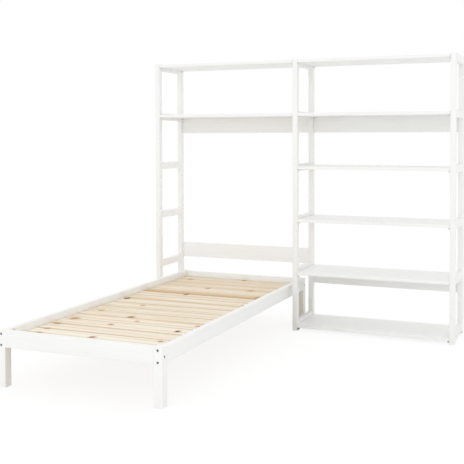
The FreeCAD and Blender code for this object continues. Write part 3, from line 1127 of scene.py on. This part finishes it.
@dataclass
class SlatDeck:
    """Sixteen slats in two rolls, their screws, and the ledgers that carry them.

    The tones say how dark the wood of each slat is at its foot edge and at its head edge, from 0 to 1.
    """

    slat_wood: Material
    ledger_wood: Material
    yellow_zinc: Material
    slat_width: float = 117.0 * MM
    edge_radius: float = 5.0 * MM
    edge_segments: int = 3
    edge_depth: float = 2.0 * MM
    end_radius: float = 0.8 * MM
    leg_play: float = 3.0 * MM
    board_step: float = 0.618
    screw_inset: float = 8.0 * MM
    head_proud: float = 0.1 * MM
    tones: dict[str, tuple[tuple[float, float], ...]] = field(
        default_factory=lambda: {
            "foot_slats": (
                (0.2, 0.05), (0.05, 0.0), (0.1, 0.2), (0.05, 0.0), (0.0, 0.15), (0.1, 0.05),
                (0.1, 0.15), (0.2, 0.05), (0.1, 0.2), (0.3, 0.1), (0.1, 0.2),
            ),
            "head_slats": ((1.0, 0.15), (0.15, 0.2), (0.45, 0.15), (0.5, 0.3), (0.3, 0.25)),
        }
    )

    def slat(self, low: Vector, high: Vector, number: int, tones: tuple[float, float]) -> Object:
        """Model one slat.

        Args:
            low: Its lowest corner.
            high: Its highest corner.
            number: Its place in the deck, which also sets which stretch of wood it shows.
            tones: How dark its wood is at its foot edge and at its head edge.

        Returns:
            The slat.
        """
        slat = new_block(low, high)
        round_edges(slat, self.edge_radius, self.edge_segments, lambda a, b: abs(a.x - b.x) > NEAR)
        round_edges(slat, self.end_radius, 1, lambda a, b: abs(a.x - b.x) < NEAR)
        play = Vector((self.leg_play, self.leg_play, 0.0))
        for corner in CORNERS:
            leg_low, leg_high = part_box(f"{corner}_leg")
            if leg_low.y - self.leg_play < high.y and leg_high.y + self.leg_play > low.y:
                cut(slat, new_block(leg_low - play, leg_high + play))
        middle = (low.y + high.y) / 2.0
        # the sides of the slat below this height, down in the gaps, get painted shade through the edge
        # attribute
        face_height = high.z - self.edge_depth
        for name, value_at in (
            ("board", lambda spot: number * self.board_step % 1.0),
            ("tone", lambda spot: tones[0] if spot.y < middle else tones[1]),
            ("edge", lambda spot: 0.0 if spot.z > face_height else 1.0),
        ):
            layer = slat.data.attributes.new(name, "FLOAT", "POINT")
            for vertex in slat.data.vertices:
                layer.data[vertex.index].value = value_at(vertex.co)
        return slat

    def build(self) -> None:
        """Model the slats and their screws, and dress the ledgers."""
        spots = []
        number = 0
        for roll, tones in self.tones.items():
            low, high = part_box(roll)
            pitch = (high.y - low.y - self.slat_width) / (len(tones) - 1)
            slats = []
            for place, slat_tones in enumerate(tones):
                number += 1
                start = low.y + place * pitch
                foot_low = Vector((low.x, start, low.z))
                head_high = Vector((high.x, start + self.slat_width, high.z))
                slats.append(self.slat(foot_low, head_high, number, slat_tones))
                for x in (low.x + self.screw_inset, high.x - self.screw_inset):
                    spots.append((Vector((x, start + self.slat_width / 2.0, high.z + self.head_proud)), UP))
            fit_together(slats, f"{roll}_planed", self.slat_wood, roll)
        screw = CrossScrew().build()
        set_out(screw, spots, "countersunk_screws", self.yellow_zinc, "slat_screws")
        dress(self.yellow_zinc, "ledger_screws")
        dress(self.ledger_wood, "left_slat_ledger", "right_slat_ledger")


@dataclass
class Studio:
    """Pale floor, white room, one soft lamp and the camera of the photograph.

    The angles of the camera are in radians, its lens and sensor in millimetres, as Blender has them.
    """

    camera_place: tuple[float, float, float] = (1.8139, -4.3543, 1.2799)
    turn_left: float = 0.3765
    look_down: float = 0.03
    lean: float = -0.0013
    lens: float = 62.56
    sensor: float = 36.0
    shift: tuple[float, float] = (-0.0833, -0.1492)
    floor_side: float = 40.0
    room_light: float = 1.0
    lamp_power: float = 31.0
    lamp_side: float = 4.0
    lamp_place: tuple[float, float, float] = (1.9, -6.3, 2.4)
    lamp_aim: tuple[float, float, float] = (0.0, 0.0, 0.6)

    def camera(self) -> None:
        """Set up the camera."""
        data = bpy.data.cameras.new("camera")
        data.lens = self.lens
        data.sensor_width = self.sensor
        data.shift_x, data.shift_y = self.shift
        camera = bpy.data.objects.new("camera", data)
        heading = Matrix.Rotation(self.turn_left, 4, "Z")
        pitch = Matrix.Rotation(math.pi / 2.0 - self.look_down, 4, "X")
        roll = Matrix.Rotation(self.lean, 4, "Z")
        camera.matrix_world = Matrix.Translation(self.camera_place) @ heading @ pitch @ roll
        bpy.context.scene.collection.objects.link(camera)
        bpy.context.scene.camera = camera

    def lamp(self) -> None:
        """Hang a square soft box beside the camera."""
        data = bpy.data.lights.new("front_soft_box", "AREA")
        data.energy = self.lamp_power
        data.size = self.lamp_side
        lamp = bpy.data.objects.new("front_soft_box", data)
        turn = (Vector(self.lamp_aim) - Vector(self.lamp_place)).to_track_quat("-Z", "Y")
        lamp.matrix_world = Matrix.Translation(self.lamp_place) @ turn.to_matrix().to_4x4()
        bpy.context.scene.collection.objects.link(lamp)

    def floor(self) -> None:
        """Lay the floor, which shows white and keeps a soft shadow."""
        bpy.ops.object.select_all(action="DESELECT")
        bpy.ops.mesh.primitive_plane_add(size=self.floor_side)
        floor = bpy.context.object
        floor.name = "floor"
        floor.data.materials.append(FloorPaper("matt_white_paper_floor").build())

    def room(self) -> None:
        """Light the room evenly, at the strength that also shows white behind the object and in its metal."""
        world = bpy.data.worlds.new("room")
        bpy.context.scene.world = world
        world.use_nodes = True
        world.node_tree.nodes.clear()
        light = add_node(world.node_tree, "Background", {"Color": WHITE, "Strength": self.room_light})
        add_node(world.node_tree, "OutputWorld", {"Surface": light})

    def build(self) -> None:
        """Set up everything round the object."""
        self.camera()
        self.lamp()
        self.floor()
        self.room()
        bpy.context.scene.view_settings.view_transform = "Standard"


DECK_KNOTS = (
    Knot(-942, 106, 16, 27, 1.0),
    Knot(-648, 363, 14, 27, 1.0),
    Knot(-914, -505, 26, 22, 0.32),
    Knot(-631, -359, 19, 20, 0.45),
    Knot(-216, -571, 13, 18, 1.0),
    Knot(-569, -842, 17, 18, 0.5),
    Knot(-638, -561, 14, 14, 0.4),
    Knot(-894, -860, 19, 15, 0.4),
    Knot(-908, -762, 16, 13, 0.45),
    Knot(-195, -791, 12, 12, 0.45),
    Knot(-894, -263, 16, 15, 0.3),
    Knot(-734, -54, 13, 13, 0.2),
    Knot(-152, 169, 13, 15, 0.45),
    Knot(-168, 426, 16, 18, 0.3),
    Knot(-500, 975, 17, 18, 0.4),
    Knot(-887, 878, 19, 15, 0.3),
    Knot(-168, -427, 12, 13, 0.3),
    Knot(-541, -443, 12, 12, 0.2),
    Knot(-610, 600, 16, 18, 0.3),
    Knot(-299, 621, 18, 20, 0.3),
    Knot(-928, -645, 17, 15, 0.3),
)


def main() -> None:
    """Build the looks of every sub-assembly in order."""
    logging.basicConfig(level=logging.INFO, format="%(name)s: %(message)s")
    paint_x = PaintedPine("painted_pine_along_x", Grain.ALONG_X).build()
    # painted light: the plank and the head rail take a cooler copy of the same white paint, which cancels the
    # warm light that the slat deck bounces onto them
    bounce_correcting_white = {"coat": "#FAFCFE", "thin_coat": "#F1F4F6"}
    bounce_corrected_paint_x = PaintedPine("bounce_corrected_painted_pine", Grain.ALONG_X, **bounce_correcting_white).build()
    paint_y = PaintedPine("painted_pine_along_y", Grain.ALONG_Y).build()
    post_paint = PaintedPine("painted_pine_upright", Grain.ALONG_Z)
    paint_z = post_paint.build()
    upright_pine = RawPine("raw_pine_upright", Grain.ALONG_Z)
    # the +X faces of both foot legs are drawn with a faint warm tint, seven per cent bare wood
    foot_leg = HalfPaintedLeg("foot_leg_paint", (1.0, 0.0, 0.0), 0.93, post_paint, upright_pine).build()
    head_leg = HalfPaintedLeg("head_leg_paint", (0.0, -1.0, 0.0), 0.6, post_paint, upright_pine).build()
    slat_wood = RawPine("raw_pine_slats", knots=DECK_KNOTS).build()
    ledger_wood = RawPine("raw_pine_ledgers", Grain.ALONG_Y).build()
    beech_tones = {"spring_wood": "#DDBE94", "summer_wood": "#C9A273", "heart_wood": "#D2AE80"}
    beech = RawPine("turned_beech", flame_width=12.0 * MM, **beech_tones).build()
    nylon = MouldedNylon("moulded_white_nylon", "#EDEDEB", "#E2E2DF").build()
    oxide = FittingSteel("black_oxide_steel", "#626265", "#98989B", 0.9, 0.38).build()
    zinc = FittingSteel("zinc_plated_steel", "#B9BCC0", "#D3D5D8", 1.0, 0.32).build()
    yellow_zinc = FittingSteel("yellow_zinc_screws", "#CDB684", "#DCC99C", 1.0, 0.36).build()
    LadderFrames(paint_z, paint_y).build()
    Shelving(paint_x, nylon, oxide).build()
    BackBoards(paint_x, bounce_corrected_paint_x, zinc, beech).build()
    BedFrame(foot_leg, head_leg, paint_x, bounce_corrected_paint_x, paint_y, oxide, zinc).build()
    SlatDeck(slat_wood, ledger_wood, yellow_zinc).build()
    Studio().build()


if __name__ == "__main__":
    main()
